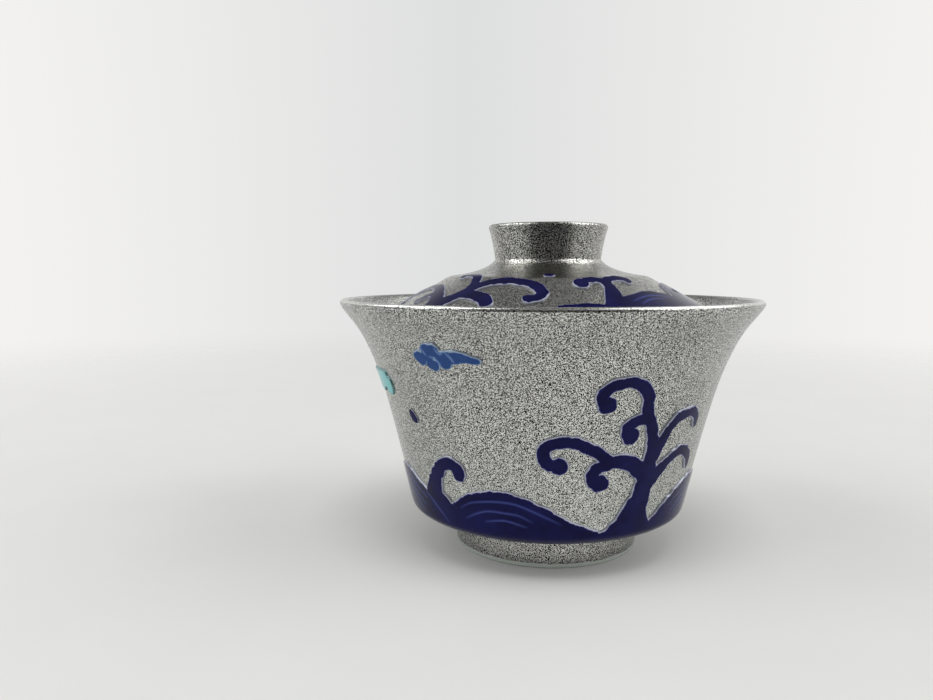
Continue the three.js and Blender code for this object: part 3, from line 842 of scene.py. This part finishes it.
def table():
    """A wide pale table that fades into the background."""
    angles = np.linspace(0, 2 * math.pi, TABLE_SEGMENTS, endpoint=False)
    places = [(0, 0, 0)]
    for ring in range(1, TABLE_RINGS + 1):
        r = TABLE_RADIUS * ring / TABLE_RINGS
        places.extend((r * math.cos(angle), r * math.sin(angle), 0) for angle in angles)
    faces = [(0, 1 + i, 1 + (i + 1) % TABLE_SEGMENTS) for i in range(TABLE_SEGMENTS)]
    for ring in range(TABLE_RINGS - 1):
        inner = 1 + ring * TABLE_SEGMENTS
        outer = inner + TABLE_SEGMENTS
        for i in range(TABLE_SEGMENTS):
            j = (i + 1) % TABLE_SEGMENTS
            faces.append((inner + i, outer + i, outer + j, inner + j))
    floor = add_object("table", places, faces)
    material, tree, shader, place = new_material("table_white")
    far = add_node(tree, "ShaderNodeVectorMath", {0: place}, operation="LENGTH").outputs["Value"]
    fade = span(tree, far, TABLE_FADE, (1, 0))
    fade.node.interpolation_type = "SMOOTHSTEP"
    plug(tree, shader, {
        "Base Color": mixed(tree, grain(tree, place, TABLE_STAIN_SIZE, detail=3), *TABLE_COLOURS),
        "Roughness": TABLE_ROUGHNESS,
        "Specular IOR Level": TABLE_GLOSS_LEVEL,
        "Alpha": fade,
    })
    floor.data.materials.append(material)


def dark_card():
    """The dark side of the room towards the camera, which only shows mirrored in the silver."""
    corners = [(-CARD_HALF, CARD_Y, 0), (CARD_HALF, CARD_Y, 0),
               (CARD_HALF, CARD_Y, CARD_HEIGHT), (-CARD_HALF, CARD_Y, CARD_HEIGHT)]
    card = add_object("dark_card", corners, [(0, 1, 2, 3)])
    material, tree, shader, place = new_material("card_black")
    parts = axis_parts(tree, place)
    aside = span(tree, reckoned(tree, "ABSOLUTE", parts["X"]), (CARD_SIDE * CARD_HALF, CARD_HALF))
    lift_range = (CARD_LIFT_START * CARD_HEIGHT, CARD_LIFT_END * CARD_HEIGHT)
    lift = span(tree, parts["Z"], lift_range, (0, CARD_LIFT_SHARE))
    share = reckoned(tree, "MAXIMUM", aside, lift)
    plug(tree, shader, {"Base Color": mixed(tree, share, *CARD_COLOURS)})
    card.data.materials.append(material)
    card.visible_camera = False
    card.visible_diffuse = False
    card.visible_shadow = False


def area_lamp(name, place, aim, size, radiance, mirrored):
    """A soft lamp, seen either in the silver's mirror or by everything else."""
    lamp = bpy.data.lights.new(name, "AREA")
    lamp.shape = "RECTANGLE"
    lamp.size, lamp.size_y = size
    lamp.energy = math.pi * size[0] * size[1] * radiance
    holder = bpy.data.objects.new(name, lamp)
    holder.location = place
    holder.rotation_euler = (Vector(aim) - Vector(place)).to_track_quat("-Z", "Y").to_euler()
    holder.visible_camera = False
    holder.visible_glossy = mirrored
    holder.visible_diffuse = not mirrored
    bpy.context.scene.collection.objects.link(holder)


def lamp_pair(kind, place, aim, size, left, right, mirrored):
    """Two lamps, each with its own radiance: one at the place on the right, and its like on the left."""
    x, y, z = place
    area_lamp("left_" + kind, (-x, y, z), aim, size, left, mirrored)
    area_lamp("right_" + kind, place, aim, size, right, mirrored)


def lamps():
    """Lamps in metres: bright edges and windows for the silver, and a soft light with fills for the rest."""
    lamp_pair("light", place=(0.46, 0.16, 0.56), aim=(0, 0, 0.05), size=(0.34, 0.5),
              left=2.2, right=2.2, mirrored=True)
    lamp_pair("window", place=(0.45, -0.14, 0.5), aim=(0, 0, 0.06), size=(0.14, 0.8),
              left=2.4, right=2.8, mirrored=True)
    area_lamp("top_light", place=(0, -0.95, 2.2), aim=(0, 0, 0), size=(1, 1), radiance=5, mirrored=False)
    lamp_pair("fill", place=(1.6, -0.5, 1.1), aim=(0, 0, 0), size=(1.5, 1.5),
              left=1.6, right=1.6, mirrored=False)


def world_light():
    """A pale room, darker overhead between its bright sides and dimmer far to the left."""
    world = bpy.data.worlds.new("room")
    bpy.context.scene.world = world
    world.use_nodes = True
    tree = world.node_tree
    parts = axis_parts(tree, add_node(tree, "ShaderNodeTexCoord").outputs["Generated"])
    aside = reckoned(tree, "ABSOLUTE", parts["X"])
    pale = mixed(tree, span(tree, aside, SIDES_RANGE), ROOM_MIDDLE, ROOM_SIDES)
    pale = mixed(tree, span(tree, parts["X"], FAR_LEFT_RANGE), pale, ROOM_FAR_LEFT)
    raised = span(tree, parts["Z"], OVERHEAD_RANGE)
    middle = span(tree, aside, OVERHEAD_RANGE, (1, 0))
    overhead = reckoned(tree, "MULTIPLY", raised, middle)
    plug(tree, tree.nodes["Background"], {"Color": mixed(tree, overhead, pale, ROOM_OVERHEAD)})


def camera():
    lens = bpy.data.cameras.new("camera")
    lens.sensor_width = SENSOR_WIDTH
    lens.lens = SENSOR_WIDTH * FOCAL_PIXELS / IMAGE_WIDTH
    lens.clip_start = CAMERA_NEAR
    lens.clip_end = CAMERA_FAR
    holder = bpy.data.objects.new("camera", lens)
    holder.location = CAMERA_PLACE
    holder.rotation_euler = (math.pi / 2 - CAMERA_DOWN, 0, 0)
    bpy.context.scene.collection.objects.link(holder)
    bpy.context.scene.camera = holder


camera()
bowl()
lid()
table()
dark_card()
lamps()
world_light()
bpy.context.scene.view_settings.view_transform = "Standard"
